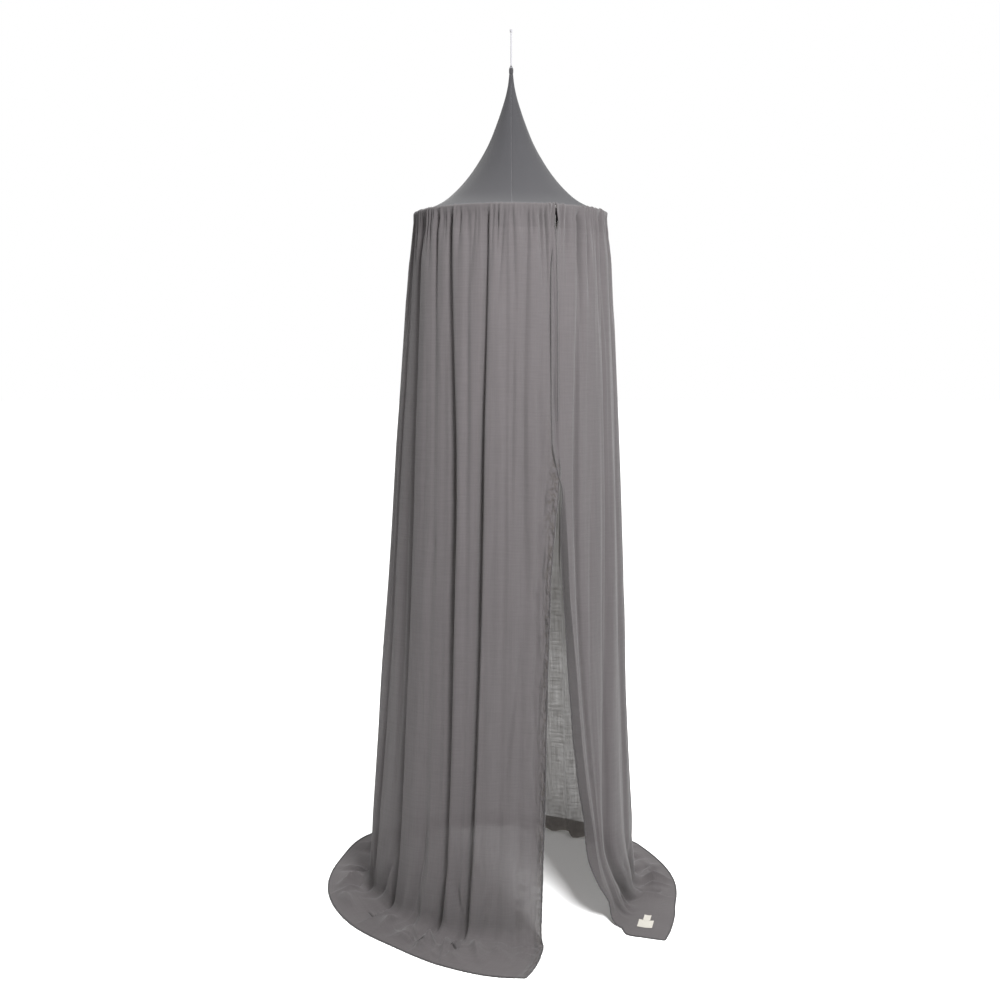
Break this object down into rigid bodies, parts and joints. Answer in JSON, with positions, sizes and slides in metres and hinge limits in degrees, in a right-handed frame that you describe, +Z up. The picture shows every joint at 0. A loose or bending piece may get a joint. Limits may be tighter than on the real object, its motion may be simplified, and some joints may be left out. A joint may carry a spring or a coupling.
{
  "type": "mosquito net canopy with hoop",
  "caption": "Hanging bed canopy: a plain grey muslin curtain gathered round a hoop under a smooth stretched cone, open in front, its hem spread over the floor.",
  "frame": {"origin": "top of the cord's knot, where the ceiling hook holds the canopy; the floor is 2.240 m below it", "axes": "+Z up along the cord and the hoop's axis, -Y towards the viewer and the open front, +X to the viewer's right"},
  "size_m": [0.9464, 0.9915, 2.24],
  "materials": {
    "crown_jersey": "smooth stretched jersey in blue-grey, with a fine rib and no shine",
    "curtain_muslin": "thin plain-woven muslin in warm grey, slightly sheer, soft and dull",
    "cord_yarn": "braided cord in grey, dull",
    "hoop_plastic": "grey extruded tube, matt",
    "label_tape": "cream woven tape, blank"
  },
  "bodies": {
    "root": {"crown_left": "crown_jersey", "crown_right": "crown_jersey", "tip_binding": "crown_jersey", "hoop": "hoop_plastic", "curtain": "curtain_muslin", "hanging_cord": "cord_yarn", "cord_knot": "cord_yarn", "label": "label_tape", "label_tab": "label_tape"}
  },
  "joints": []
}
